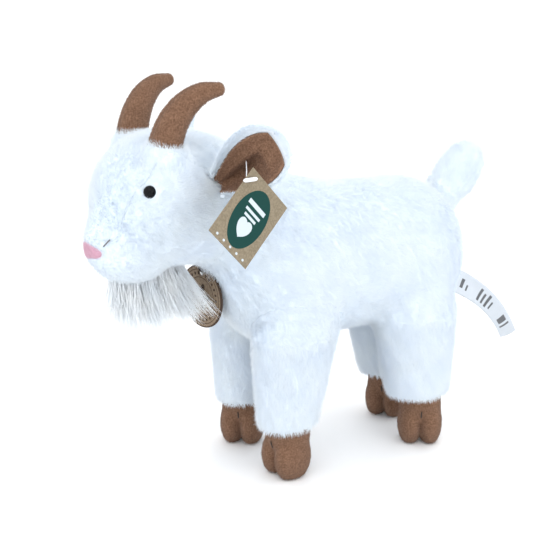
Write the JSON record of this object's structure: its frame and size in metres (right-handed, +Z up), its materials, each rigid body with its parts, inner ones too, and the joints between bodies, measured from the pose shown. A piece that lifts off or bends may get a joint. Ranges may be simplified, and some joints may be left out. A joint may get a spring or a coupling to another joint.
{
  "type": "stuffed plush goat",
  "caption": "Standing stuffed plush goat with curved felt horns, cupped ears, a hair beard, cloven hooves, an ear tag, a throat medallion and a care label.",
  "frame": {"origin": "centre of the bounding box's bottom face, on the ground under the goat", "axes": "+Z up, nose towards -Y, the goat's own left side towards +X"},
  "size_m": [0.1624, 0.3192, 0.2568],
  "materials": {
    "white_plush": "soft short-pile plush, 4 to 6 mm fur, matt",
    "brown_plush": "brushed short-pile fabric, matt",
    "fibre_filling": "loose polyester fibre, matt",
    "pink_velour": "short velour, matt",
    "eye_plastic": "polished black dome",
    "washer_plastic": "moulded, matt",
    "brown_thread": "twisted thread, matt",
    "grey_thread": "twisted thread, matt",
    "kraft_card": "kraft card with a printed dark green oval, matt",
    "medallion_board": "stiff kraft board with a dark printed rim, matt",
    "pin_nylon": "clear to white moulded nylon, slight sheen",
    "satin_ribbon": "woven satin, slight sheen"
  },
  "bodies": {
    "torso": {"belly_panel": "white_plush", "body_left_panel": "white_plush", "body_right_panel": "white_plush", "body_stuffing": "fibre_filling", "medallion_loop": "brown_thread"},
    "head": {"forehead_gusset": "white_plush", "chin_panel": "white_plush", "head_left_panel": "white_plush", "head_right_panel": "white_plush", "head_stuffing": "fibre_filling", "nose_patch": "pink_velour", "left_eye": "eye_plastic", "left_eye_washer": "washer_plastic", "left_nostril_stitch": "grey_thread", "right_eye": "eye_plastic", "right_eye_washer": "washer_plastic", "right_nostril_stitch": "grey_thread"},
    "left_horn": {"left_horn_outer_panel": "brown_plush", "left_horn_inner_panel": "brown_plush", "left_horn_stuffing": "fibre_filling"},
    "left_ear": {"left_ear_back": "white_plush", "left_ear_lining": "brown_plush", "tag_pin": "pin_nylon"},
    "right_horn": {"right_horn_outer_panel": "brown_plush", "right_horn_inner_panel": "brown_plush", "right_horn_stuffing": "fibre_filling"},
    "right_ear": {"right_ear_back": "white_plush", "right_ear_lining": "brown_plush"},
    "swing_tag": {"swing_tag_card": "kraft_card"},
    "front_left_leg": {"front_left_leg_sleeve": "white_plush", "front_left_hoof_cover": "brown_plush", "front_left_hoof_sole": "brown_plush", "front_left_leg_stuffing": "fibre_filling", "front_left_cleft_stitch": "brown_thread"},
    "front_right_leg": {"front_right_leg_sleeve": "white_plush", "front_right_hoof_cover": "brown_plush", "front_right_hoof_sole": "brown_plush", "front_right_leg_stuffing": "fibre_filling", "front_right_cleft_stitch": "brown_thread"},
    "rear_left_leg": {"rear_left_leg_sleeve": "white_plush", "rear_left_hoof_cover": "brown_plush", "rear_left_hoof_sole": "brown_plush", "rear_left_leg_stuffing": "fibre_filling", "rear_left_cleft_stitch": "brown_thread"},
    "rear_right_leg": {"rear_right_leg_sleeve": "white_plush", "rear_right_hoof_cover": "brown_plush", "rear_right_hoof_sole": "brown_plush", "rear_right_leg_stuffing": "fibre_filling", "rear_right_cleft_stitch": "brown_thread"},
    "tail": {"tail_cover": "white_plush", "tail_stuffing": "fibre_filling"},
    "beard": {"beard_tuft": "white_plush"},
    "medallion": {"medallion_disc": "medallion_board"},
    "label": {"care_label": "satin_ribbon"}
  },
  "joints": [
    {"name": "head_nod", "type": "hinge", "parent": "torso", "child": "head", "pos_m": [-0.0058, -0.07091, 0.172], "axis": [1, 0, 0], "range_deg": [-15, 5], "stiffness_Nm_per_rad": 3},
    {"name": "front_left_hip", "type": "hinge", "parent": "torso", "child": "front_left_leg", "pos_m": [0.0202, -0.03491, 0.106], "axis": [1, 0, 0], "range_deg": [-12, 12], "stiffness_Nm_per_rad": 2},
    {"name": "front_right_hip", "type": "hinge", "parent": "torso", "child": "front_right_leg", "pos_m": [-0.0318, -0.03891, 0.106], "axis": [1, 0, 0], "range_deg": [-12, 12], "stiffness_Nm_per_rad": 2},
    {"name": "rear_left_hip", "type": "hinge", "parent": "torso", "child": "rear_left_leg", "pos_m": [0.0192, 0.06009, 0.106], "axis": [1, 0, 0], "range_deg": [-12, 12], "stiffness_Nm_per_rad": 2},
    {"name": "rear_right_hip", "type": "hinge", "parent": "torso", "child": "rear_right_leg", "pos_m": [-0.0308, 0.06409, 0.106], "axis": [1, 0, 0], "range_deg": [-12, 12], "stiffness_Nm_per_rad": 2},
    {"name": "tail_bend", "type": "hinge", "parent": "torso", "child": "tail", "pos_m": [-0.0058, 0.09309, 0.167], "axis": [1, 0, 0], "range_deg": [-25, 25], "stiffness_Nm_per_rad": 0.3},
    {"name": "left_horn_flex", "type": "hinge", "parent": "head", "child": "left_horn", "pos_m": [0.0222, -0.12041, 0.214], "axis": [1, 0, 0], "range_deg": [-8, 8], "stiffness_Nm_per_rad": 0.6},
    {"name": "right_horn_flex", "type": "hinge", "parent": "head", "child": "right_horn", "pos_m": [-0.0338, -0.12041, 0.214], "axis": [1, 0, 0], "range_deg": [-8, 8], "stiffness_Nm_per_rad": 0.6},
    {"name": "left_ear_flop", "type": "hinge", "parent": "head", "child": "left_ear", "pos_m": [0.0322, -0.08991, 0.197], "axis": [0, 1, 0], "range_deg": [-20, 8], "stiffness_Nm_per_rad": 0.3},
    {"name": "right_ear_flop", "type": "hinge", "parent": "head", "child": "right_ear", "pos_m": [-0.0438, -0.08991, 0.197], "axis": [0, 1, 0], "range_deg": [-8, 20], "stiffness_Nm_per_rad": 0.3},
    {"name": "tag_swing", "type": "hinge", "parent": "left_ear", "child": "swing_tag", "pos_m": [0.0737, -0.09121, 0.2072], "axis": [0.967, 0.2546, 0], "range_deg": [-15, 15]},
    {"name": "medallion_swing", "type": "hinge", "parent": "torso", "child": "medallion", "pos_m": [-0.0098, -0.08541, 0.1349], "axis": [0.9659, 0.2588, 0], "range_deg": [-10, 6]},
    {"name": "beard_sway", "type": "hinge", "parent": "head", "child": "beard", "pos_m": [-0.0058, -0.12691, 0.137], "axis": [0, 1, 0], "range_deg": [-15, 15]},
    {"name": "label_flap", "type": "hinge", "parent": "torso", "child": "label", "pos_m": [-0.0018, 0.10309, 0.109], "axis": [1, 0, 0], "range_deg": [-15, 15], "stiffness_Nm_per_rad": 0.05}
  ]
}
